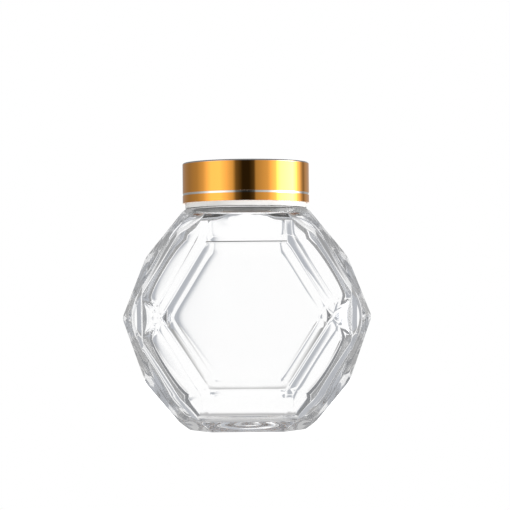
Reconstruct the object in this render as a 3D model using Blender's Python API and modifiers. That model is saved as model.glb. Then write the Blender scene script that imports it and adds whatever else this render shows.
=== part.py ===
"""Faceted hexagonal honey jar of clear glass with a round gold screw lid, at its real size.

The jar stands upright on its flat base, with its big hexagonal window towards -Y.
The origin is the centre of the base, on the surface it stands on. Units are metres.
"""
import bmesh
import bpy
from math import copysign, cos, radians, sin
from mathutils import Vector

# ---- Glass body: heights above the base -------------------------------------------------
WAIST_Z = 0.0488          # the widest points, and the middle of the hexagonal window
SHOULDER_Z = 0.0929       # flat top of the faceted body
FLOOR_THICKNESS = 0.0066  # solid glass under the hollow

# ---- Glass body: its facets, measured from the waist (x, z) and from the middle plane (y)
TABLE_Y = 0.0345          # front and back windows
TABLE_SIDE_X = 0.0362     # left and right corners of the window
TABLE_TOP = (0.0170, 0.0315)           # x, z of the ends of the window's top edge
TABLE_BOTTOM = (0.0163, -0.0308)       # x, z of the ends of the window's bottom edge
CROWN_Y = 0.0265          # ring of corners behind the window's frame of facets
CROWN_WIDTH = 0.0110      # how far that ring lies outside the window's slanting edges
CROWN_TRIM = 0.0036       # how much shorter its edges are at each end
SHOULDER_EDGE = (0.0168, 0.0282)       # x, y of the corners of the shoulder's front edge
FOOT_EDGE = (0.0160, 0.0215)           # x, y of the corners of the foot's front edge
RIDGE = (                              # x, z from the waist of the outline round the middle
    (0.0289, SHOULDER_Z - WAIST_Z),    # shoulder
    (0.0448, 0.0262),                  # upper fold
    (0.0542, 0.0),                     # waist
    (0.0443, -0.0282),                 # lower fold
    (0.0269, -WAIST_Z),                # foot
)
EDGE_ROUND = 0.0009       # the mould's soft edges
EDGE_SEGMENTS = 2

# ---- Hollow of the jar --------------------------------------------------------------------
WINDOW_WALL = 0.0038      # glass at the windows and at the facets that frame them
GUIDE_LEAN = 0.5          # least y part of the normal of a facet that the hollow follows
SIDE_RADIUS = 0.0452      # rounded sides of the hollow, from the middle of the waist
SIDE_SWELL = 0.0010       # how far they bulge towards the corners of the hexagon
SIDE_STEP = 15            # degrees from one flat of the rounded side to the next
SIDE_LIMIT = 0.9          # sine of the steepest flat: above and below it are shoulder and floor
SIDE_TILT = 8             # degrees that the sides close in towards front and back
HOLLOW_ROUND = 0.0040     # widest band along an edge of the hollow that is rounded off
HOLLOW_LEVELS = 1
BORE_RADIUS = 0.0212
BORE_FLARE = 0.0030       # how much wider the bore is where it opens into the body
BORE_FLARE_DEPTH = 0.0100

# ---- Collar and neck ----------------------------------------------------------------------
COLLAR_RADIUS = 0.0269
COLLAR_TOP_Z = 0.0958
NECK_RADIUS = 0.0245
NECK_TOP_Z = 0.1130
RIM_ROUND = 0.0009

# ---- Lid ----------------------------------------------------------------------------------
LID_RADIUS = 0.0275
LID_BOTTOM_Z = 0.0982
LID_TOP_Z = 0.1157
LID_WALL = 0.0008
LID_TOP_ROUND = 0.0006
PINSTRIPE_Z = 0.1020      # middle of the silver line cut round the lid
PINSTRIPE_WIDTH = 0.0010
PINSTRIPE_DEPTH = 0.00015
LINER_BOTTOM_Z = 0.0961
LINER_INNER_RADIUS = 0.0248
LINER_TOP_PLATE = 0.0012

GAP = 0.0003              # between neighbouring solids
TURN_STEPS = 72
ROUND_POINTS = 3          # points of a rounded corner in a turned outline
CUT_OVERLAP = 0.0020      # how far cutters and joined shapes reach into one another
SHORTEST_EDGE = 0.0004    # shorter edges of the cut block are closed up
FLAT_NORMAL = 0.99        # a normal with more than this along an axis counts as level


# ---- Helpers ------------------------------------------------------------------------------
def clear_scene():
    for item in list(bpy.data.objects):
        bpy.data.objects.remove(item, do_unlink=True)


def new_collection(name):
    group = bpy.data.collections.new(name)
    bpy.context.scene.collection.children.link(group)
    return group


def new_object(name, mesh, group):
    item = bpy.data.objects.new(name, mesh)
    group.objects.link(item)
    return item


def material(name, colour, roughness, metallic=0.0, transmission=0.0):
    finish = bpy.data.materials.new(name)
    finish.use_nodes = True
    shader = finish.node_tree.nodes["Principled BSDF"]
    shader.inputs["Base Color"].default_value = (*colour, 1.0)
    shader.inputs["Roughness"].default_value = roughness
    shader.inputs["Metallic"].default_value = metallic
    shader.inputs["Transmission Weight"].default_value = transmission
    return finish


def mark_cutter(item):
    item.hide_render = True
    item.display_type = "WIRE"


def combine(item, other, operation):
    boolean = item.modifiers.new(f"{operation.lower()} {other.name}", "BOOLEAN")
    boolean.operation = operation
    boolean.solver = "EXACT"
    boolean.object = other


def arc(centre, radius, start, end, points):
    """Points (r, z) on a circular corner, from one angle to another, in degrees."""
    steps = range(points + 1)
    angles = [radians(start + (end - start) * step / points) for step in steps]
    return [(centre[0] + radius * cos(a), centre[1] + radius * sin(a)) for a in angles]


def turned(name, outline, group):
    """A solid turned about Z from an outline of (r, z) that runs down its outer side."""
    mesh = bpy.data.meshes.new(name)
    edges = [(index, index + 1) for index in range(len(outline) - 1)]
    mesh.from_pydata([(r, 0.0, z) for r, z in outline], edges, [])
    item = new_object(name, mesh, group)
    screw = item.modifiers.new("turn", "SCREW")
    screw.steps = screw.render_steps = TURN_STEPS
    screw.use_merge_vertices = True
    screw.merge_threshold = 0.00001
    return item


# ---- Faceted glass body -------------------------------------------------------------------
def crown_edge(window_corner):
    """Ends of the edge behind a slanting window edge, right-hand side, as (x, z)."""
    side = Vector((TABLE_SIDE_X, 0.0))
    corner = Vector(window_corner)
    along = (corner - side).normalized()
    outward = Vector((abs(along.y), copysign(along.x, corner.y)))
    near_side = side + outward * CROWN_WIDTH + along * CROWN_TRIM
    near_corner = corner + outward * CROWN_WIDTH - along * CROWN_TRIM
    return [tuple(near_side), tuple(near_corner)]


def facet_corners():
    """Every corner of the gem-cut body, measured from the middle of the waist."""
    half = [(x, 0.0, z) for x, z in RIDGE]
    for face in (-1, 1):
        half.append((TABLE_SIDE_X, face * TABLE_Y, 0.0))
        for window_corner in (TABLE_TOP, TABLE_BOTTOM):
            half.append((window_corner[0], face * TABLE_Y, window_corner[1]))
            half += [(x, face * CROWN_Y, z) for x, z in crown_edge(window_corner)]
        half.append((SHOULDER_EDGE[0], face * SHOULDER_EDGE[1], SHOULDER_Z - WAIST_Z))
        half.append((FOOT_EDGE[0], face * FOOT_EDGE[1], -WAIST_Z))
    return half + [(-x, y, z) for x, y, z in half]


def faceted_mesh(name, corners):
    """The closed flat-sided solid that spans a set of corners."""
    bm = bmesh.new()
    for corner in corners:
        bm.verts.new(corner)
    hull = bmesh.ops.convex_hull(bm, input=bm.verts)
    spare = [v for v in hull["geom_interior"] if isinstance(v, bmesh.types.BMVert)]
    bmesh.ops.delete(bm, geom=spare, context="VERTS")
    bmesh.ops.dissolve_limit(bm, angle_limit=radians(0.5), verts=bm.verts, edges=bm.edges)
    bmesh.ops.recalc_face_normals(bm, faces=bm.faces)
    mesh = bpy.data.meshes.new(name)
    bm.to_mesh(mesh)
    bm.free()
    return mesh


def make_faceted_body(name, group):
    item = new_object(name, faceted_mesh(name, facet_corners()), group)
    item.location.z = WAIST_Z
    bevel = item.modifiers.new("soft edges", "BEVEL")
    bevel.width = EDGE_ROUND
    bevel.segments = EDGE_SEGMENTS
    bevel.limit_method = "ANGLE"
    bevel.angle_limit = radians(6.0)
    return item


def distance_to_edge(point, edge):
    start, end = (corner.co for corner in edge.verts)
    return (point - start).cross((end - start).normalized()).length


def guide_planes():
    """Planes behind the windows, the facets that frame them, the floor and the shoulder."""
    outside = faceted_mesh("guide", facet_corners())
    planes = []
    for facet in outside.polygons:
        normal = facet.normal.copy()
        if abs(normal.y) < GUIDE_LEAN and abs(normal.z) < FLAT_NORMAL:
            continue
        wall = FLOOR_THICKNESS if normal.z < -FLAT_NORMAL else WINDOW_WALL
        planes.append((facet.center - normal * wall, normal))
    bpy.data.meshes.remove(outside)
    return planes


def side_planes():
    """Pairs of leaning planes in steps round the waist, which leave out top and bottom."""
    tilt = radians(SIDE_TILT)
    planes = []
    for degrees in range(0, 360, SIDE_STEP):
        angle = radians(degrees)
        if abs(sin(angle)) > SIDE_LIMIT:
            continue
        outward = Vector((cos(angle), 0.0, sin(angle)))
        reach = SIDE_RADIUS + SIDE_SWELL * cos(6 * angle)
        for face in (-1, 1):
            normal = outward * cos(tilt) + Vector((0.0, face * sin(tilt), 0.0))
            planes.append((outward * reach, normal))
    return planes


def cut_block(planes):
    """What is left of a block once everything outside each plane is cut away."""
    bm = bmesh.new()
    bmesh.ops.create_cube(bm, size=2 * SHOULDER_Z)
    for point, normal in planes:
        block = bm.verts[:] + bm.edges[:] + bm.faces[:]
        bmesh.ops.bisect_plane(
            bm, geom=block, dist=1e-7, plane_co=point, plane_no=normal, clear_outer=True
        )
        rim = [edge for edge in bm.edges if edge.is_boundary]
        if rim:
            bmesh.ops.contextual_create(bm, geom=rim)
    bmesh.ops.remove_doubles(bm, verts=bm.verts, dist=SHORTEST_EDGE)
    bmesh.ops.dissolve_limit(bm, angle_limit=radians(0.5), verts=bm.verts, edges=bm.edges)
    bmesh.ops.recalc_face_normals(bm, faces=bm.faces)
    return bm


def make_hollow(group):
    """The inside: it follows the windows and their frames, with rounded sides between them."""
    bm = cut_block(guide_planes() + side_planes())
    for face in list(bm.faces):
        middle = face.calc_center_median()
        reach = min(distance_to_edge(middle, edge) for edge in face.edges)
        band = min(HOLLOW_ROUND, reach / 2)
        bmesh.ops.inset_individual(bm, faces=[face], thickness=band, use_even_offset=True)
    mesh = bpy.data.meshes.new("hollow")
    bm.to_mesh(mesh)
    bm.free()
    item = new_object("hollow", mesh, group)
    item.location.z = WAIST_Z
    rounding = item.modifiers.new("rounding", "SUBSURF")
    rounding.levels = rounding.render_levels = HOLLOW_LEVELS
    mark_cutter(item)
    return item


def make_neck(group):
    """Collar and neck as one turned solid, which reaches down into the body."""
    rim = (NECK_RADIUS - RIM_ROUND, NECK_TOP_Z - RIM_ROUND)
    collar = (COLLAR_RADIUS - RIM_ROUND, COLLAR_TOP_Z - RIM_ROUND)
    outline = [(0.0, NECK_TOP_Z)]
    outline += arc(rim, RIM_ROUND, 90, 0, ROUND_POINTS)
    outline += [(NECK_RADIUS, COLLAR_TOP_Z)]
    outline += arc(collar, RIM_ROUND, 90, 0, ROUND_POINTS)
    outline += [(COLLAR_RADIUS, SHOULDER_Z - CUT_OVERLAP), (0.0, SHOULDER_Z - CUT_OVERLAP)]
    item = turned("neck", outline, group)
    mark_cutter(item)
    return item


def make_bore(group):
    """The way in: straight through the neck, flared where it meets the hollow."""
    mouth_z = SHOULDER_Z - 2 * CUT_OVERLAP
    low_z = mouth_z - BORE_FLARE_DEPTH
    outline = [
        (0.0, NECK_TOP_Z + CUT_OVERLAP),
        (BORE_RADIUS, NECK_TOP_Z + CUT_OVERLAP),
        (BORE_RADIUS, mouth_z),
        (BORE_RADIUS + BORE_FLARE / 4, mouth_z - BORE_FLARE_DEPTH / 3),
        (BORE_RADIUS + BORE_FLARE, low_z),
        (0.0, low_z),
    ]
    item = turned("bore", outline, group)
    mark_cutter(item)
    return item


def make_glass_jar(parts, cutters):
    jar = make_faceted_body("glass_jar", parts)
    combine(jar, make_neck(cutters), "UNION")
    combine(jar, make_hollow(cutters), "DIFFERENCE")
    combine(jar, make_bore(cutters), "DIFFERENCE")
    jar.data.materials.append(material("clear glass", (0.95, 0.97, 0.97), 0.02, 0.0, 1.0))


# ---- Lid ----------------------------------------------------------------------------------
def make_lid_shell(parts):
    """The gold cup, with a rounded top edge and a shallow groove for its silver line."""
    top_corner = (LID_RADIUS - LID_TOP_ROUND, LID_TOP_Z - LID_TOP_ROUND)
    groove_top = PINSTRIPE_Z + PINSTRIPE_WIDTH / 2
    groove_bottom = PINSTRIPE_Z - PINSTRIPE_WIDTH / 2
    groove_radius = LID_RADIUS - PINSTRIPE_DEPTH
    inner_radius = LID_RADIUS - LID_WALL
    outline = [(0.0, LID_TOP_Z)]
    outline += arc(top_corner, LID_TOP_ROUND, 90, 0, ROUND_POINTS)
    outline += [
        (LID_RADIUS, groove_top),
        (groove_radius, groove_top - PINSTRIPE_DEPTH),
        (groove_radius, groove_bottom + PINSTRIPE_DEPTH),
        (LID_RADIUS, groove_bottom),
        (LID_RADIUS, LID_BOTTOM_Z),
        (inner_radius, LID_BOTTOM_Z),
        (inner_radius, LID_TOP_Z - LID_WALL),
        (0.0, LID_TOP_Z - LID_WALL),
    ]
    shell = turned("lid_shell", outline, parts)
    shell.data.materials.append(material("gold", (0.88, 0.56, 0.20), 0.12, 1.0))


def make_lid_liner(parts):
    """The pale cap inside the shell, whose lower edge shows as a ring above the collar."""
    outer_radius = LID_RADIUS - LID_WALL - GAP
    top_z = LID_TOP_Z - LID_WALL - GAP
    under_plate_z = top_z - LINER_TOP_PLATE
    outline = [
        (0.0, top_z),
        (outer_radius, top_z),
        (outer_radius, LINER_BOTTOM_Z),
        (LINER_INNER_RADIUS, LINER_BOTTOM_Z),
        (LINER_INNER_RADIUS, under_plate_z),
        (0.0, under_plate_z),
    ]
    liner = turned("lid_liner", outline, parts)
    liner.data.materials.append(material("liner", (0.92, 0.92, 0.90), 0.35))


def main():
    clear_scene()
    parts = new_collection("honey_jar")
    cutters = new_collection("cutters")
    make_glass_jar(parts, cutters)
    make_lid_shell(parts)
    make_lid_liner(parts)


main()
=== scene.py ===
# %% [markdown]
# # An empty honey jar of gem-cut glass
# The jar is one thick piece of clear pressed glass. A big hexagonal window faces front and
# back, a ring of narrow facets frames each window, and a zigzag of facets runs round the
# sides. A round neck carries a gold metal lid with a pale plastic liner.
# The imported solids come in first. Each piece made below replaces one of them.

# %% Load the frame
from math import acos, atan, copysign, cos, pi, radians, sin

import bmesh
import bpy
from mathutils import Matrix, Vector


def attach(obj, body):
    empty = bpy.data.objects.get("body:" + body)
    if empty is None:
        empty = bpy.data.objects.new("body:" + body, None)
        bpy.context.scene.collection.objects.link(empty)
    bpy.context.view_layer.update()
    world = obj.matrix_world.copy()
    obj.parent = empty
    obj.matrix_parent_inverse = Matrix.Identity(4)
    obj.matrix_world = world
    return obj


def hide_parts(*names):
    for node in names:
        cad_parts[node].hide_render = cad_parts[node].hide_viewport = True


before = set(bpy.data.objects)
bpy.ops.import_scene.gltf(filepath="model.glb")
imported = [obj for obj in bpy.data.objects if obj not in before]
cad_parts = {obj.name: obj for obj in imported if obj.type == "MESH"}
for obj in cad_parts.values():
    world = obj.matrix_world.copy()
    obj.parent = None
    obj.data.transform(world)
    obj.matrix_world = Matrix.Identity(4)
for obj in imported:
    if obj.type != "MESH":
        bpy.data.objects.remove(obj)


def in_mm(lengths):
    return [round(length * 1000, 1) for length in lengths]


scene = bpy.context.scene
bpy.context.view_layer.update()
print("packed nodes:", sorted(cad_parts))

# %% [markdown]
# ## Camera
# A long lens about a metre away, at the height of the jar's middle, keeps both rows of
# facets nearly parallel. The place is worked out from a few simple facts: how many metres
# one pixel spans at the jar, how far away the camera is, at which rows of the picture the
# eye level and the foot of the jar are, and at which column its axis is. The whole picture
# leans by half a degree.

# %% Camera
PICTURE = 510              # pixels each way
METRES_PER_PIXEL = 0.434e-3
CAMERA_DISTANCE = 0.968
EYE_ROW = 320.0            # row of the picture at the camera's own height
FOOT_ROW = 429.5           # row where the jar stands
JAR_COLUMN = 246.5         # column of the jar's axis
CAMERA_LEAN = radians(-0.5)
SENSOR_MM = 36.0


def make_camera():
    focal_pixels = CAMERA_DISTANCE / METRES_PER_PIXEL
    data = bpy.data.cameras.new("camera")
    data.sensor_width = SENSOR_MM
    data.lens = SENSOR_MM * focal_pixels / PICTURE
    camera = bpy.data.objects.new("camera", data)
    scene.collection.objects.link(camera)
    up = atan((EYE_ROW - PICTURE / 2) / focal_pixels)
    aside = atan((PICTURE / 2 - JAR_COLUMN) / focal_pixels)
    height = (FOOT_ROW - EYE_ROW) * METRES_PER_PIXEL
    turn = Matrix.Rotation(-aside, 4, "Z") @ Matrix.Rotation(pi / 2 + up, 4, "X")
    place = Matrix.Translation((0.0, -CAMERA_DISTANCE, height))
    camera.matrix_world = place @ turn @ Matrix.Rotation(CAMERA_LEAN, 4, "Z")
    scene.camera = camera
    return camera


camera = make_camera()
print("lens:", round(camera.data.lens, 1), "mm, camera at, mm:", in_mm(camera.location))

# %% [markdown]
# ## Small helpers
# Every piece is built as a bmesh and turned into an object that sits at the origin, with
# its place in its mesh. Doubles are merged before the normals are worked out again. An
# exact Boolean joins two shapes or cuts one with the other, and keeps flat facets flat.

# %% Helpers for pieces
MERGE = 1e-6               # points closer than this are one


def finish_mesh(bm, name):
    """Merges doubles, turns the faces outwards and gives back a mesh."""
    bmesh.ops.remove_doubles(bm, verts=bm.verts, dist=MERGE)
    bmesh.ops.recalc_face_normals(bm, faces=bm.faces)
    mesh = bpy.data.meshes.new(name)
    bm.to_mesh(mesh)
    bm.free()
    return mesh


def add_line(bm, points):
    """A line through some points, as its edges."""
    verts = [bm.verts.new(point) for point in points]
    return [bm.edges.new(pair) for pair in zip(verts, verts[1:])]


def new_piece(name, mesh):
    piece = bpy.data.objects.new(name, mesh)
    scene.collection.objects.link(piece)
    return piece


def bake_modifiers(piece):
    """Replaces a piece's mesh by what its modifiers make of it."""
    graph = bpy.context.evaluated_depsgraph_get()
    mesh = bpy.data.meshes.new_from_object(piece.evaluated_get(graph))
    piece.modifiers.clear()
    old, piece.data = piece.data, mesh
    bpy.data.meshes.remove(old)
    mesh.name = piece.name


def combine(piece, other, operation):
    """Joins or cuts a piece with another one, which is then thrown away."""
    boolean = piece.modifiers.new(operation, "BOOLEAN")
    boolean.operation = operation
    boolean.solver = "EXACT"
    boolean.object = other
    bake_modifiers(piece)
    bpy.data.objects.remove(other, do_unlink=True)


def describe(piece):
    triangles = sum(len(face.vertices) - 2 for face in piece.data.polygons)
    print(piece.name, "-", triangles, "triangles,", in_mm(piece.dimensions), "mm")


# %% [markdown]
# ## The outside of the glass
# The body is like a cut gem. Drawing every facet by hand would be slow and would leave the
# facets slightly bent. A convex hull needs only the corners, and it makes every facet
# flat. The corners are the window's six, a ring of corners behind each slanting window
# edge, the outline round the middle, and the ends of the shoulder and the foot.

# %% Corners of the gem
WAIST_Z = 0.0488           # the widest points, and the middle of the window
SHOULDER_Z = 0.0929        # front and back edges of the shoulder
WINDOW_Y = 0.0345          # the window's distance from the middle
WINDOW_SIDE_X = 0.0362     # left and right corners of the window
WINDOW_TOP = (0.0170, 0.0315)      # x, z of its top corners, from the waist
WINDOW_BOTTOM = (0.0163, -0.0308)  # x, z of its bottom corners
CROWN_Y = 0.0257           # ring of corners behind the window
CROWN_WIDTH = 0.0122       # how far the ring lies outside the slanting edges
CROWN_TRIM = 0.0036        # how much shorter its edges are at each end
SHOULDER_EDGE = (0.0168, 0.0282)   # x, y of the shoulder's front corners
FOOT_EDGE = (0.0160, 0.0215)       # x, y of the foot's front corners
RIDGE = (                  # x, z of the outline round the middle, from the waist
    (0.0270, 0.0470),
    (0.0438, 0.0264),
    (0.0542, 0.0),
    (0.0443, -0.0282),
    (0.0299, -0.0452),
    (0.0250, -WAIST_Z),
)


def crown_edge(window_corner):
    """Ends of the edge that lies behind a slanting edge of the window, as x, z."""
    side = Vector((WINDOW_SIDE_X, 0.0))
    corner = Vector(window_corner)
    along = (corner - side).normalized()
    outward = Vector((abs(along.y), copysign(along.x, corner.y)))
    near_side = side + outward * CROWN_WIDTH + along * CROWN_TRIM
    near_corner = corner + outward * CROWN_WIDTH - along * CROWN_TRIM
    return [tuple(near_side), tuple(near_corner)]


def gem_corners():
    half = [(x, 0.0, z) for x, z in RIDGE]
    for face in (-1, 1):
        half.append((WINDOW_SIDE_X, face * WINDOW_Y, 0.0))
        for corner in (WINDOW_TOP, WINDOW_BOTTOM):
            half.append((corner[0], face * WINDOW_Y, corner[1]))
            half += [(x, face * CROWN_Y, z) for x, z in crown_edge(corner)]
        half.append((SHOULDER_EDGE[0], face * SHOULDER_EDGE[1], SHOULDER_Z - WAIST_Z))
        half.append((FOOT_EDGE[0], face * FOOT_EDGE[1], -WAIST_Z))
    corners = half + [(-x, y, z) for x, y, z in half]
    return [Vector((x, y, z + WAIST_Z)) for x, y, z in corners]


print("corners of the gem:", len(gem_corners()))

# %% [markdown]
# The hull operator stretches a skin of triangles over the corners, and triangles that lie
# in one plane are dissolved into one facet. Middle and direction of every facet are kept,
# because the hollow inside will follow some of them.

# %% Cut the gem
FLAT_ANGLE = radians(0.5)  # triangles that fold less than this are one facet


def make_gem():
    """The flat-sided body with sharp edges."""
    bm = bmesh.new()
    for corner in gem_corners():
        bm.verts.new(corner)
    hull = bmesh.ops.convex_hull(bm, input=bm.verts)
    spare = [v for v in hull["geom_interior"] if isinstance(v, bmesh.types.BMVert)]
    bmesh.ops.delete(bm, geom=spare, context="VERTS")
    bmesh.ops.dissolve_limit(bm, angle_limit=FLAT_ANGLE, verts=bm.verts, edges=bm.edges)
    bmesh.ops.recalc_face_normals(bm, faces=bm.faces)
    return bm


gem = make_gem()
facets = [(face.calc_center_median(), face.normal.copy()) for face in gem.faces]
print("facets:", len(facets))

# %% [markdown]
# Pressed glass is never sharp. Molten glass shrinks back from the corners of the mould and
# the edges are melted smooth afterwards, so each edge is a small round. Four segments are
# enough, because the shading is smooth.

# %% Soften the edges of the gem
EDGE_ROUND = 0.0009
EDGE_SEGMENTS = 4
LEAST_FOLD = radians(6)    # flatter folds stay as they are


def soften_edges(bm):
    folds = [edge for edge in bm.edges if edge.calc_face_angle(0.0) > LEAST_FOLD]
    bmesh.ops.bevel(
        bm, geom=folds, offset=EDGE_ROUND, offset_type="OFFSET", segments=EDGE_SEGMENTS,
        profile=0.5, affect="EDGES", material=-1, clamp_overlap=True,
    )


soften_edges(gem)
jar = new_piece("jar_glass", finish_mesh(gem, "jar_glass"))
describe(jar)

# %% [markdown]
# ## The inside of the glass
# The inside isn't faceted like the outside. The plunger that presses the glass is flat
# behind the windows and rounds off softly towards the sides. So the wall is thin and even
# behind a window, tapers behind the facets that frame it, and is much thicker behind the
# zigzag, and that is what gives the jar its sparkling rim.
# Seen from the middle of the waist, every direction has the same section: flat behind the
# front window, a large arc, a steep side, and the same again to the back. Its distance from
# the middle follows the hexagon of the window, and further out the outline of the sides.

# %% Section of the hollow
WINDOW_WALL = 0.0032
ARC_RADIUS = (0.0259, 0.0450)          # beside the window, and above and below it
ARC_START = (radians(11), radians(4))  # fold between flat and arc, in the same places
ARC_INSET = 0.0079         # the arc's middle lies this far inside the window's edge
ARC_STEPS = 13
UPRIGHT = (0.80, 0.98)     # sine of the direction where beside changes to above and below
CORNER_POWER = 14          # lower numbers melt the corners of the hexagon more
SIDE_RADIUS = 0.0484       # steep sides, from the middle of the waist
SIDE_SWELL = 0.0020        # how far they bulge towards the corners of the hexagon
SIDE_CLOSE = 0.07          # how fast they close in towards front and back


def window_distance(angle):
    """From the middle to the edge of the window, in one direction, corners melted."""
    right = [WINDOW_BOTTOM, (WINDOW_SIDE_X, 0.0), WINDOW_TOP]
    corners = [Vector(corner) for corner in right + [(-x, z) for x, z in reversed(right)]]
    direction = Vector((cos(angle), sin(angle)))
    total = 0.0
    for start, end in zip(corners, corners[1:] + corners[:1]):
        along = (end - start).normalized()
        outward = Vector((along.y, -along.x))
        share = max(outward.dot(direction), 0.0) / outward.dot(start)
        total += share ** CORNER_POWER
    return total ** (-1.0 / CORNER_POWER)


def section(angle):
    """Points (distance from the middle, y) from the front to the back."""
    share = min(max((abs(sin(angle)) - UPRIGHT[0]) / (UPRIGHT[1] - UPRIGHT[0]), 0.0), 1.0)
    radius = ARC_RADIUS[0] + (ARC_RADIUS[1] - ARC_RADIUS[0]) * share
    first_turn = ARC_START[0] + (ARC_START[1] - ARC_START[0]) * share
    lift = WINDOW_Y - WINDOW_WALL - radius * cos(first_turn)
    last_turn = acos(max(-lift / radius, 0.0))
    side = SIDE_RADIUS + SIDE_SWELL * cos(6 * angle)
    middle = window_distance(angle) - ARC_INSET
    front = []
    for step in range(ARC_STEPS + 1):
        turn = first_turn + (last_turn - first_turn) * step / ARC_STEPS
        y = lift + radius * cos(turn)
        front.append((min(middle + radius * sin(turn), side - SIDE_CLOSE * y), -y))
    return front + [(reach, -y) for reach, y in reversed(front)]


for name, degrees in (("sideways", 0), ("upwards", 90)):
    reach = max(reach for reach, y in section(radians(degrees)))
    print("the hollow reaches", round(reach * 1000, 1), "mm", name)

# %% [markdown]
# A faceted hollow would break the light too hard, and a turned one would miss the hexagon.
# So it is lofted: the section is drawn in each of many directions round the waist, and each
# line is bridged to the next. Then the loft is cut off at the floor and under the shoulder,
# and behind the facets that lean back from the window, so that no wall gets too thin.

# %% Loft the hollow
LOFT_TURNS = 180
FLOOR_THICKNESS = 0.0056
SHOULDER_WALL = 0.0012     # under the flat shoulder, before the corner is rounded
LEAST_WALL = 0.0024        # behind the facets that lean at the corners of the window
GUIDE_LEAN = 0.5           # least y part of the normal of a facet that the hollow follows
FLAT_NORMAL = 0.98         # a normal with a larger part than this points straight that way
SIDE_LEAN = 0.2            # facets straight above and below the window lean less aside


def limits():
    """Planes that the hollow stays inside: floor, shoulder and leaning facets."""
    planes = [(Vector((0.0, 0.0, FLOOR_THICKNESS)), Vector((0.0, 0.0, -1.0)))]
    for centre, normal in facets:
        if normal.z > FLAT_NORMAL:
            planes.append((centre - normal * SHOULDER_WALL, normal))
        if GUIDE_LEAN < abs(normal.y) < FLAT_NORMAL:
            wall = WINDOW_WALL if abs(normal.x) < SIDE_LEAN else LEAST_WALL
            planes.append((centre - normal * wall, normal))
    return planes


def make_loft():
    bm = bmesh.new()
    lines = []
    for step in range(LOFT_TURNS):
        turn = 2 * pi * step / LOFT_TURNS
        points = [
            (reach * cos(turn), y, WAIST_Z + reach * sin(turn)) for reach, y in section(turn)
        ]
        lines.append(add_line(bm, points))
    for line, following in zip(lines, lines[1:] + lines[:1]):
        bmesh.ops.bridge_loops(bm, edges=line + following)
    ends = [edge for edge in bm.edges if edge.is_boundary]
    bmesh.ops.holes_fill(bm, edges=ends, sides=0)
    bmesh.ops.recalc_face_normals(bm, faces=bm.faces)
    return bm


def cut_off(bm, point, normal):
    """Takes away what lies outside a plane, and closes the cut."""
    everything = bm.verts[:] + bm.edges[:] + bm.faces[:]
    bmesh.ops.bisect_plane(
        bm, geom=everything, dist=0.0, plane_co=point, plane_no=normal, clear_outer=True
    )
    rim = [edge for edge in bm.edges if edge.is_boundary]
    if rim:
        bmesh.ops.contextual_create(bm, geom=rim)


loft = make_loft()
for point, normal in limits():
    cut_off(loft, point, normal)
inside = new_piece("inside", finish_mesh(loft, "inside"))
describe(inside)

# %% [markdown]
# ## Turned shapes
# Collar, neck, bore and lid are round. Only half of such an outline is drawn, and a full
# spin makes the ring. An outer corner is rounded by a quarter circle, and a shallow bowl is
# a parabola.

# %% Turned shapes
TURN_STEPS = 160
CORNER_POINTS = 6
QUARTER = [pi / 2 * step / CORNER_POINTS for step in range(CORNER_POINTS + 1)]


def round_corner(outer_radius, top_z, rounding):
    """Points (r, z) round an outer corner, from the flat top down to the side."""
    r, z = outer_radius - rounding, top_z - rounding
    return [(r + rounding * sin(turn), z + rounding * cos(turn)) for turn in QUARTER]


def swell(radius, height):
    """Points (r, z) of a shallow hill, from its top on the axis out to its edge."""
    return [(radius * sin(turn), height * cos(turn) ** 2) for turn in QUARTER]


def turned(name, outline):
    """A closed shape turned about Z from an outline of (r, z), on the axis at both ends."""
    bm = bmesh.new()
    add_line(bm, [(r, 0.0, z) for r, z in outline])
    bmesh.ops.spin(
        bm, geom=bm.verts[:] + bm.edges[:], cent=(0, 0, 0), axis=(0, 0, 1), dvec=(0, 0, 0),
        angle=2 * pi, steps=TURN_STEPS, use_merge=True, use_duplicate=False,
    )
    return new_piece(name, finish_mesh(bm, name))


print("one step of a turned shape:", 360 / TURN_STEPS, "degrees")

# %% [markdown]
# ## Neck and bore
# The neck stands on a low collar. The bore through it opens where it meets the wide hollow,
# because the glass flows round that corner and never leaves a ledge. Here it opens as a
# plain cone, and the melting further down makes a bell of it.

# %% Neck and bore
COLLAR_RADIUS = 0.0269
COLLAR_TOP_Z = 0.0958
NECK_RADIUS = 0.0245
NECK_TOP_Z = 0.1130
RIM_ROUND = 0.0009
BORE_RADIUS = 0.0212
BELL_RADIUS = 0.0280       # width of the bell where it meets the hollow
BELL_TOP_Z = 0.1000        # where the straight bore starts to open
BELL_LOW_Z = 0.0905
CUT_OVERLAP = 0.0020       # how far a shape reaches past the face that it joins or cuts


def make_neck():
    low_z = SHOULDER_Z - CUT_OVERLAP
    outline = [(0.0, NECK_TOP_Z)] + round_corner(NECK_RADIUS, NECK_TOP_Z, RIM_ROUND)
    outline += [(NECK_RADIUS, COLLAR_TOP_Z)]
    outline += round_corner(COLLAR_RADIUS, COLLAR_TOP_Z, RIM_ROUND)
    outline += [(COLLAR_RADIUS, low_z), (0.0, low_z)]
    return turned("neck", outline)


def make_bore():
    outline = [
        (0.0, NECK_TOP_Z + CUT_OVERLAP),
        (BORE_RADIUS, NECK_TOP_Z + CUT_OVERLAP),
        (BORE_RADIUS, BELL_TOP_Z),
        (BELL_RADIUS, BELL_LOW_Z),
        (0.0, BELL_LOW_Z),
    ]
    return turned("bore", outline)


neck = make_neck()
bore = make_bore()
describe(neck)
describe(bore)

# %% [markdown]
# ## Foot
# Under the foot is a shallow dish, so that the jar stands on the rim of its foot and doesn't
# rock. The floor inside is a shallow bowl, as the rounded tip of the plunger leaves it. The
# two curves make a lens of the floor, which bends the light in the foot into soft shapes.
# Both are turned, and later the bowl is joined to the hollow and the dish is cut away.

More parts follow.
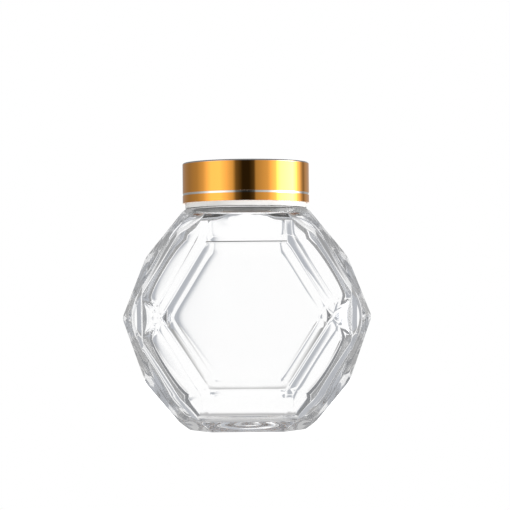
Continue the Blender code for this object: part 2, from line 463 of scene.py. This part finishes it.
# %% Dish and bowl
DISH_RADIUS = 0.0165
DISH_DEPTH = 0.0009
BOWL_RADIUS = 0.0190
BOWL_DEPTH = 0.0016


def make_dish():
    dish = swell(DISH_RADIUS, DISH_DEPTH)
    return turned("dish", dish + [(DISH_RADIUS, -CUT_OVERLAP), (0.0, -CUT_OVERLAP)])


def make_bowl():
    bowl = [(r, FLOOR_THICKNESS - depth) for r, depth in swell(BOWL_RADIUS, BOWL_DEPTH)]
    top_z = FLOOR_THICKNESS + CUT_OVERLAP
    return turned("bowl", bowl + [(BOWL_RADIUS, top_z), (0.0, top_z)])


dish = make_dish()
bowl = make_bowl()
describe(dish)
describe(bowl)

# %% [markdown]
# ## Mould line
# A mould of several parts leaves a fine line where two parts meet. One shows as a thin dark
# stroke along the top edge of the front window. A thin rod pressed half into the glass
# leaves it, because a groove this fine needs no outline of its own.

# %% Mould line
LINE_RADIUS = 0.0005
LINE_SIDES = 16


def make_mould_line():
    """Thin rod along the top edge of the front window."""
    bm = bmesh.new()
    bmesh.ops.create_cone(
        bm, cap_ends=True, segments=LINE_SIDES, radius1=LINE_RADIUS, radius2=LINE_RADIUS,
        depth=2 * WINDOW_TOP[0],
    )
    bmesh.ops.rotate(bm, verts=bm.verts, matrix=Matrix.Rotation(pi / 2, 3, "Y"))
    bmesh.ops.translate(bm, verts=bm.verts, vec=(0.0, -WINDOW_Y, WAIST_Z + WINDOW_TOP[1]))
    return new_piece("mould_line", finish_mesh(bm, "mould_line"))


mould_line = make_mould_line()
describe(mould_line)

# %% [markdown]
# ## One melted hollow
# Hollow, bore and bowl meet in hard corners, which glass never has. Bevels on such uneven
# edges would tear. Remeshing them into small even squares and smoothing those many times
# melts all the corners alike, and leaves large flats flat.

# %% Round the inside
VOXEL = 0.0007
SMOOTH_PASSES = 50
SMOOTH_STRENGTH = 0.5


def melt(piece):
    remesh = piece.modifiers.new("even faces", "REMESH")
    remesh.mode = "VOXEL"
    remesh.voxel_size = VOXEL
    smooth = piece.modifiers.new("melted", "SMOOTH")
    smooth.factor = SMOOTH_STRENGTH
    smooth.iterations = SMOOTH_PASSES
    bake_modifiers(piece)


for part in (bore, bowl):
    combine(inside, part, "UNION")
melt(inside)
describe(inside)

# %% [markdown]
# ## The whole glass
# The neck joins the body first, and then the hollow is cut out of both at once, so that the
# jar is open from its mouth to its floor. Dish and mould line are cut last.

# %% Put the glass together
combine(jar, neck, "UNION")
for cut in (inside, dish, mould_line):
    combine(jar, cut, "DIFFERENCE")
describe(jar)

# %% [markdown]
# Smooth shading alone would bend the light at the rim of each flat facet. Weighted normals
# let the big faces decide, so facets look flat and only their rounded edges look round.

# %% Shade the glass
SHARP_ANGLE = radians(25)
BIG_FACES_FIRST = 100      # the highest weight for the area of a face


def shade(piece):
    piece.data.shade_smooth()
    piece.data.set_sharp_from_angle(angle=SHARP_ANGLE)
    weighted = piece.modifiers.new("flat facets", "WEIGHTED_NORMAL")
    weighted.weight = BIG_FACES_FIRST
    weighted.keep_sharp = True


shade(jar)
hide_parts("glass_jar")
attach(jar, "root")
print(jar.name, "takes the place of glass_jar")

# %% [markdown]
# ## Glass
# Clear glass is a surface that lets all light through and bends it. Window and jar glass
# has an index of refraction of 1.52, and good glass shows hardly any colour at this
# thickness. Pressed glass keeps a faint ripple from the mould. A very weak bump gives it,
# because real waves in the mesh would need far too many faces.

# %% Glass finish
CLEAR = (1.0, 1.0, 1.0)
GLASS_INDEX = 1.52
GLASS_WAVES = (60.0, 0.08)     # how close together, and how strong
WAVE_HEIGHT = 0.001
WAVE_DETAIL = 1.0


def plain_material(name, colour, roughness, metallic=0.0):
    finish = bpy.data.materials.new(name)
    finish.use_nodes = True
    shader = finish.node_tree.nodes["Principled BSDF"]
    shader.inputs["Base Color"].default_value = (*colour, 1.0)
    shader.inputs["Roughness"].default_value = roughness
    shader.inputs["Metallic"].default_value = metallic
    return finish, finish.node_tree, shader


def add_noise(tree, scale, detail):
    """Noise that is fixed to the piece."""
    place = tree.nodes.new("ShaderNodeTexCoord")
    noise = tree.nodes.new("ShaderNodeTexNoise")
    noise.inputs["Scale"].default_value = scale
    noise.inputs["Detail"].default_value = detail
    tree.links.new(place.outputs["Object"], noise.inputs["Vector"])
    return noise.outputs["Fac"]


def ripple(tree, shader, scale, strength):
    bump = tree.nodes.new("ShaderNodeBump")
    bump.inputs["Strength"].default_value = strength
    bump.inputs["Distance"].default_value = WAVE_HEIGHT
    tree.links.new(add_noise(tree, scale, WAVE_DETAIL), bump.inputs["Height"])
    tree.links.new(bump.outputs["Normal"], shader.inputs["Normal"])


def make_glass():
    finish, tree, shader = plain_material("pressed_glass", CLEAR, 0.0)
    shader.inputs["Transmission Weight"].default_value = 1.0
    shader.inputs["IOR"].default_value = GLASS_INDEX
    ripple(tree, shader, *GLASS_WAVES)
    return finish


jar.data.materials.clear()
jar.data.materials.append(make_glass())
print("finish of", jar.name, "-", jar.data.materials[0].name)

# %% [markdown]
# ## Lid
# The lid is a thin gold-coloured metal cup over a plastic liner. A diamond tool has cut
# through the gold at the top edge and in one narrow groove, so bare aluminium shows there
# as two silver lines. Both pieces are turned, like the neck, and the groove is part of the
# outline, because it also catches the light.

# %% Lid shell and liner
LID_RADIUS = 0.0275
LID_BOTTOM_Z = 0.0982
LID_TOP_Z = 0.1157
LID_WALL = 0.0008
LID_TOP_ROUND = 0.0006
STRIPE_Z = 0.1020
STRIPE_WIDTH = 0.0009
STRIPE_DEPTH = 0.00015
LINER_BOTTOM_Z = 0.0961
LINER_INNER_RADIUS = 0.0248
LINER_TOP_PLATE = 0.0012
GAP = 0.0003               # between shell and liner


def make_lid_shell():
    inner = LID_RADIUS - LID_WALL
    top_z = STRIPE_Z + STRIPE_WIDTH / 2
    low_z = STRIPE_Z - STRIPE_WIDTH / 2
    outline = [(0.0, LID_TOP_Z)] + round_corner(LID_RADIUS, LID_TOP_Z, LID_TOP_ROUND)
    outline += [
        (LID_RADIUS, top_z),
        (LID_RADIUS - STRIPE_DEPTH, top_z - STRIPE_DEPTH),
        (LID_RADIUS - STRIPE_DEPTH, low_z + STRIPE_DEPTH),
        (LID_RADIUS, low_z),
        (LID_RADIUS, LID_BOTTOM_Z),
        (inner, LID_BOTTOM_Z),
        (inner, LID_TOP_Z - LID_WALL),
        (0.0, LID_TOP_Z - LID_WALL),
    ]
    return turned("lid_gold", outline)


def make_liner():
    outer = LID_RADIUS - LID_WALL - GAP
    top_z = LID_TOP_Z - LID_WALL - GAP
    outline = [
        (0.0, top_z),
        (outer, top_z),
        (outer, LINER_BOTTOM_Z),
        (LINER_INNER_RADIUS, LINER_BOTTOM_Z),
        (LINER_INNER_RADIUS, top_z - LINER_TOP_PLATE),
        (0.0, top_z - LINER_TOP_PLATE),
    ]
    return turned("lid_liner_cap", outline)


lid = make_lid_shell()
liner = make_liner()
for piece, node, slot in ((lid, "lid_shell", "gold_metal"), (liner, "lid_liner", "pale_plastic")):
    shade(piece)
    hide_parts(node)
    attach(piece, "root")
    describe(piece)

# %% [markdown]
# ## Plastic
# The liner is pale, slightly glossy plastic. Moulded plastic is never evenly glossy, and
# one roughness all over would look like paint. Noise spreads it between two values.

# %% Plastic finish
PLASTIC = (0.93, 0.93, 0.91)
PLASTIC_ROUGHNESS = 0.3            # of the bare finish, before it is made uneven
PLASTIC_GLOSS = (400.0, 0.24, 0.40)    # scale of the noise, least and most roughness
GLOSS_DETAIL = 3.0
NOISE_RANGE = (0.3, 0.7)           # noise seldom leaves this range


def uneven_gloss(tree, shader, scale, low, high):
    spread = tree.nodes.new("ShaderNodeMapRange")
    spread.inputs["From Min"].default_value = NOISE_RANGE[0]
    spread.inputs["From Max"].default_value = NOISE_RANGE[1]
    spread.inputs["To Min"].default_value = low
    spread.inputs["To Max"].default_value = high
    tree.links.new(add_noise(tree, scale, GLOSS_DETAIL), spread.inputs["Value"])
    tree.links.new(spread.outputs["Result"], shader.inputs["Roughness"])


def make_plastic():
    finish, tree, shader = plain_material("liner_plastic", PLASTIC, PLASTIC_ROUGHNESS)
    uneven_gloss(tree, shader, *PLASTIC_GLOSS)
    return finish


liner.data.materials.append(make_plastic())
print("finish of", liner.name, "-", liner.data.materials[0].name)

# %% [markdown]
# ## Gold with two bare lines
# The gold is a lacquered mirror finish. A very weak ripple keeps its reflections from being
# ruler-straight, and handling leaves its gloss a little uneven.
# Bare metal shows inside the groove and on the rounded top edge. Separate faces for it
# would need exact edges. Position alone decides it instead: height picks out the groove,
# and height with the distance from the axis picks out the top edge.

# %% Shares of bare metal
BARE_EDGE_Z = LID_TOP_Z - LID_TOP_ROUND
LINE_SOFTNESS = 0.00008
ACROSS = (1.0, 1.0, 0.0)           # leaves the height out of a position


def math_node(tree, operation, first, second=None):
    """Arithmetic on sockets or decimal numbers."""
    node = tree.nodes.new("ShaderNodeMath")
    node.operation = operation
    for socket, value in zip(node.inputs, (first, second)):
        if isinstance(value, float):
            socket.default_value = value
        elif value is not None:
            tree.links.new(value, socket)
    return node.outputs[0]


def line_step(tree, value, limit):
    """0 below a limit and 1 above it."""
    step = tree.nodes.new("ShaderNodeMapRange")
    step.inputs["From Min"].default_value = limit - LINE_SOFTNESS
    step.inputs["From Max"].default_value = limit + LINE_SOFTNESS
    tree.links.new(value, step.inputs["Value"])
    return step.outputs["Result"]


def axis_distance(tree, position):
    level = tree.nodes.new("ShaderNodeVectorMath")
    level.operation = "MULTIPLY"
    level.inputs[1].default_value = ACROSS
    tree.links.new(position, level.inputs[0])
    reach = tree.nodes.new("ShaderNodeVectorMath")
    reach.operation = "LENGTH"
    tree.links.new(level.outputs["Vector"], reach.inputs[0])
    return reach.outputs["Value"]


def bare_share(tree):
    """1 where the gold is cut away, and 0 elsewhere."""
    place = tree.nodes.new("ShaderNodeTexCoord")
    split = tree.nodes.new("ShaderNodeSeparateXYZ")
    tree.links.new(place.outputs["Object"], split.inputs[0])
    height = split.outputs["Z"]
    above_low = line_step(tree, height, STRIPE_Z - STRIPE_WIDTH / 2)
    above_top = line_step(tree, height, STRIPE_Z + STRIPE_WIDTH / 2)
    groove = math_node(tree, "SUBTRACT", above_low, above_top)
    high = line_step(tree, height, BARE_EDGE_Z)
    reach = axis_distance(tree, place.outputs["Object"])
    outer = line_step(tree, reach, LID_RADIUS - LID_TOP_ROUND)
    edge = math_node(tree, "MULTIPLY", high, outer)
    return math_node(tree, "ADD", groove, edge)


print("bare top edge starts at", round(BARE_EDGE_Z * 1000, 1), "mm")

# %% [markdown]
# The share of bare metal then blends the two colours. Gold and aluminium reflect with
# their own colour, so both are full metal, and only the base colour changes.

# %% Gold finish
GOLD = (0.98, 0.42, 0.075)
BARE_METAL = (0.86, 0.84, 0.80)
GOLD_ROUGHNESS = 0.05              # of the bare finish, before it is made uneven
GOLD_GLOSS = (220.0, 0.03, 0.055)      # scale of the noise, least and most roughness
GOLD_WAVES = (45.0, 0.02)


def blend(tree, factor, first, second):
    """Mixes two colours, each a socket or a value."""
    node = tree.nodes.new("ShaderNodeMix")
    node.data_type = "RGBA"
    tree.links.new(factor, node.inputs["Factor"])
    for name, value in (("A", first), ("B", second)):
        if isinstance(value, tuple):
            node.inputs[name].default_value = (*value, 1.0)
        else:
            tree.links.new(value, node.inputs[name])
    return node.outputs["Result"]


def make_gold():
    finish, tree, shader = plain_material("gold_coat", GOLD, GOLD_ROUGHNESS, 1.0)
    colour = blend(tree, bare_share(tree), GOLD, BARE_METAL)
    tree.links.new(colour, shader.inputs["Base Color"])
    uneven_gloss(tree, shader, *GOLD_GLOSS)
    ripple(tree, shader, *GOLD_WAVES)
    return finish


lid.data.materials.append(make_gold())
print("finish of", lid.name, "-", lid.data.materials[0].name)

# %% [markdown]
# ## Studio
# Clear glass shows nothing but what stands round it, so the light is most of its look.
# Apart from the table, all of it is one sky. A ring of bright and dark boxes near the
# horizon gives the gold its bands, with an even grey room above and below it.
# Seen through the glass, those boxes would fill it with hard stripes. In a studio, cards
# keep them from it. Here the sky does so itself: a view that has passed through the glass
# finds hardly any of the ring, and the grey room in its place.

# %% Ring and room
RING_LIGHT = (              # degrees from the camera's side, brightness
    (-180, 0.40), (-125, 0.30), (-100, 0.42), (-84, 0.68), (-66, 1.40), (-48, 1.45),
    (-24, 0.66), (-18, 0.15), (-6, 0.02), (6, 0.02), (15, 0.08), (18, 0.42),
    (40, 0.72), (56, 1.60), (66, 5.00), (94, 7.00), (106, 1.90), (120, 0.60),
    (128, 0.22), (138, 0.45), (180, 0.50),
)
RING_HEIGHT = (0.28, 0.14)  # sine of the heights where the ring ends and starts to fade
ROOM_LIGHT = (0.205, 0.212, 0.225)
GLASS_SHIELD = 0.93        # how much of the ring is kept away from the glass


def fade(tree, value, start, end):
    """Smooth step from 0 at start to 1 at end."""
    node = tree.nodes.new("ShaderNodeMapRange")
    node.interpolation_type = "SMOOTHSTEP"
    node.inputs["From Min"].default_value = min(start, end)
    node.inputs["From Max"].default_value = max(start, end)
    if start > end:
        node.inputs["To Min"].default_value = 1.0
        node.inputs["To Max"].default_value = 0.0
    tree.links.new(value, node.inputs["Value"])
    return node.outputs["Result"]


def ring_colours(tree, split):
    """Brightness by compass direction."""
    back = math_node(tree, "MULTIPLY", split.outputs["Y"], -1.0)
    compass = math_node(tree, "ARCTAN2", split.outputs["X"], back)
    share = tree.nodes.new("ShaderNodeMapRange")
    share.inputs["From Min"].default_value = -pi
    share.inputs["From Max"].default_value = pi
    tree.links.new(compass, share.inputs["Value"])
    ring = tree.nodes.new("ShaderNodeValToRGB")
    ring.color_ramp.interpolation = "LINEAR"
    stops = ring.color_ramp.elements
    for index, (degrees, light) in enumerate(RING_LIGHT):
        position = (degrees + 180) / 360
        stop = stops[index] if index < 2 else stops.new(position)
        stop.position = position
        stop.color = (light, light, light, 1.0)
    tree.links.new(share.outputs["Result"], ring.inputs["Fac"])
    return ring.outputs["Color"]


def ring_and_room(tree, split, seen):
    shield = math_node(tree, "MULTIPLY", seen.outputs["Is Transmission Ray"], GLASS_SHIELD)
    ring = blend(tree, shield, ring_colours(tree, split), ROOM_LIGHT)
    level = math_node(tree, "ABSOLUTE", split.outputs["Z"])
    return blend(tree, fade(tree, level, *RING_HEIGHT), ROOM_LIGHT, ring)


print("stops in the ring of light:", len(RING_LIGHT))

# %% [markdown]
# Straight behind the jar stands a white field, narrow and not very high. Where the window
# looks at it the glass is clear. Near the rim the glass bends the view past the edge of
# the field into the room, and that is what draws the outline in grey. Only for the glass,
# a softer zone on both sides of the field gives the facets in between their middle greys.
# Looked at directly, the sky is plain white.

# %% White field
WHITE = (1.0, 1.0, 1.0)
FIELD_LIGHT = (1.13, 1.13, 1.13)
FIELD_TURN = radians(175)  # its middle, as a compass direction from the camera's side
FIELD_EDGE = (sin(radians(12)), sin(radians(5.5)))     # where it ends and starts to fade
FIELD_RISE = (0.0, 0.5)    # y part of a direction where it starts and is complete
FIELD_TOP = (0.28, 0.18)   # sine of the heights where it ends and starts to fade
SOFT_LIGHT = (0.50, 0.52, 0.56)
SOFT_EDGE = (sin(radians(40)), sin(radians(28)))       # the same for the softer zone


def field_shares(tree, split, seen):
    """Shares of the softer zone and of the white field."""
    across = math_node(tree, "MULTIPLY", split.outputs["X"], cos(FIELD_TURN))
    along = math_node(tree, "MULTIPLY", split.outputs["Y"], sin(FIELD_TURN))
    aside = math_node(tree, "ABSOLUTE", math_node(tree, "ADD", across, along))
    behind = fade(tree, split.outputs["Y"], *FIELD_RISE)
    zone = math_node(tree, "MULTIPLY", fade(tree, aside, *SOFT_EDGE), behind)
    zone = math_node(tree, "MULTIPLY", zone, seen.outputs["Is Transmission Ray"])
    field = math_node(tree, "MULTIPLY", fade(tree, aside, *FIELD_EDGE), behind)
    level = math_node(tree, "ABSOLUTE", split.outputs["Z"])
    field = math_node(tree, "MULTIPLY", field, fade(tree, level, *FIELD_TOP))
    return zone, field


def make_sky():
    world = bpy.data.worlds.new("studio")
    scene.world = world
    world.use_nodes = True
    tree = world.node_tree
    place = tree.nodes.new("ShaderNodeTexCoord")
    split = tree.nodes.new("ShaderNodeSeparateXYZ")
    tree.links.new(place.outputs["Generated"], split.inputs[0])
    seen = tree.nodes.new("ShaderNodeLightPath")
    zone, field = field_shares(tree, split, seen)
    light = ring_and_room(tree, split, seen)
    light = blend(tree, zone, light, SOFT_LIGHT)
    light = blend(tree, field, light, FIELD_LIGHT)
    light = blend(tree, seen.outputs["Is Camera Ray"], light, WHITE)
    tree.links.new(light, tree.nodes["Background"].inputs["Color"])
    return world


world = make_sky()
print("nodes in the sky:", len(world.node_tree.nodes))

# %% [markdown]
# ## Light table
# The jar stands on a white table that is lit through from below. One white sheet would
# fill the lower facets with a single flat tone, so it glows unevenly. Close by it is a soft
# grey, which keeps the edges of those facets. Further back it has a bright strip, which
# widens with the distance, and under the foot a faint spot. Looked at directly, the table
# is as white as the sky, and it lights the plastic well.

# %% Glow of the table
NEAR_GLOW = 0.40           # brightness towards the glass, close to the jar
FAR_GLOW = 1.12            # and in the bright strip
FAR_FROM = (0.02, 0.14)    # y where the strip starts and ends to grow brighter
STRIP_SLOPE = (0.17, 0.09)     # of its edges, where it ends and starts to fade
STRIP_FRONT_Y = -0.20      # where those edges would meet, in front of the jar
FOOT_GLOW = 0.14           # added straight under the foot
FOOT_SPOT = (0.055, 0.030)     # distance from the middle where it ends and starts to fade
CAMERA_GLOW = 0.60         # added where the camera looks
DIFFUSE_GLOW = 1.90        # added for the light on the plastic


def strip_share(tree, split):
    depth = math_node(tree, "SUBTRACT", split.outputs["Y"], STRIP_FRONT_Y)
    aside = math_node(tree, "ABSOLUTE", split.outputs["X"])
    slope = math_node(tree, "DIVIDE", aside, depth)
    far = fade(tree, split.outputs["Y"], *FAR_FROM)
    return math_node(tree, "MULTIPLY", far, fade(tree, slope, *STRIP_SLOPE))


def spot_share(tree, position):
    distance = tree.nodes.new("ShaderNodeVectorMath")
    distance.operation = "LENGTH"
    tree.links.new(position, distance.inputs[0])
    return fade(tree, distance.outputs["Value"], *FOOT_SPOT)


def table_glow(tree):
    place = tree.nodes.new("ShaderNodeTexCoord")
    split = tree.nodes.new("ShaderNodeSeparateXYZ")
    tree.links.new(place.outputs["Object"], split.inputs[0])
    seen = tree.nodes.new("ShaderNodeLightPath")
    glow = math_node(tree, "MULTIPLY", strip_share(tree, split), FAR_GLOW - NEAR_GLOW)
    for share, more in (
        (spot_share(tree, place.outputs["Object"]), FOOT_GLOW),
        (seen.outputs["Is Camera Ray"], CAMERA_GLOW),
        (seen.outputs["Is Diffuse Ray"], DIFFUSE_GLOW),
    ):
        glow = math_node(tree, "ADD", glow, math_node(tree, "MULTIPLY", share, more))
    return math_node(tree, "ADD", glow, NEAR_GLOW)


print("glow of the table, near and far:", NEAR_GLOW, FAR_GLOW)

# %% [markdown]
# The table itself is one flat square, stretched to its size. It lies a hair under the
# glass, because two surfaces in the same place would flicker.

# %% Light table
TABLE_HALF_WIDTH = 0.60
TABLE_FRONT_Y = -0.70
TABLE_BACK_Y = 0.90
AIR_GAP = 0.0003


def make_table():
    half_depth = (TABLE_BACK_Y - TABLE_FRONT_Y) / 2
    middle = Vector((0.0, (TABLE_FRONT_Y + TABLE_BACK_Y) / 2, -AIR_GAP))
    bm = bmesh.new()
    bmesh.ops.create_grid(bm, x_segments=1, y_segments=1, size=1.0)
    bmesh.ops.scale(bm, verts=bm.verts, vec=(TABLE_HALF_WIDTH, half_depth, 1.0))
    bmesh.ops.translate(bm, verts=bm.verts, vec=middle)
    table = new_piece("table", finish_mesh(bm, "table"))
    paint, tree, shader = plain_material("table_glow", (0.0, 0.0, 0.0), 1.0)
    shader.inputs["Specular IOR Level"].default_value = 0.0
    shader.inputs["Emission Color"].default_value = (*WHITE, 1.0)
    tree.links.new(table_glow(tree), shader.inputs["Emission Strength"])
    table.data.materials.append(paint)
    return table


table = make_table()
describe(table)

# %% [markdown]
# ## Render settings
# Light is thrown back many times inside thick facets before it leaves them. With too few
# bounces those places turn black, so the glass gets a generous number. The plain view
# transform keeps white as white.

# %% Render settings that belong to the look
GLASS_BOUNCES = 128
METAL_BOUNCES = 64

scene.view_settings.view_transform = "Standard"
scene.cycles.max_bounces = GLASS_BOUNCES
scene.cycles.transmission_bounces = GLASS_BOUNCES
scene.cycles.glossy_bounces = METAL_BOUNCES
print("bounces in the glass:", GLASS_BOUNCES)
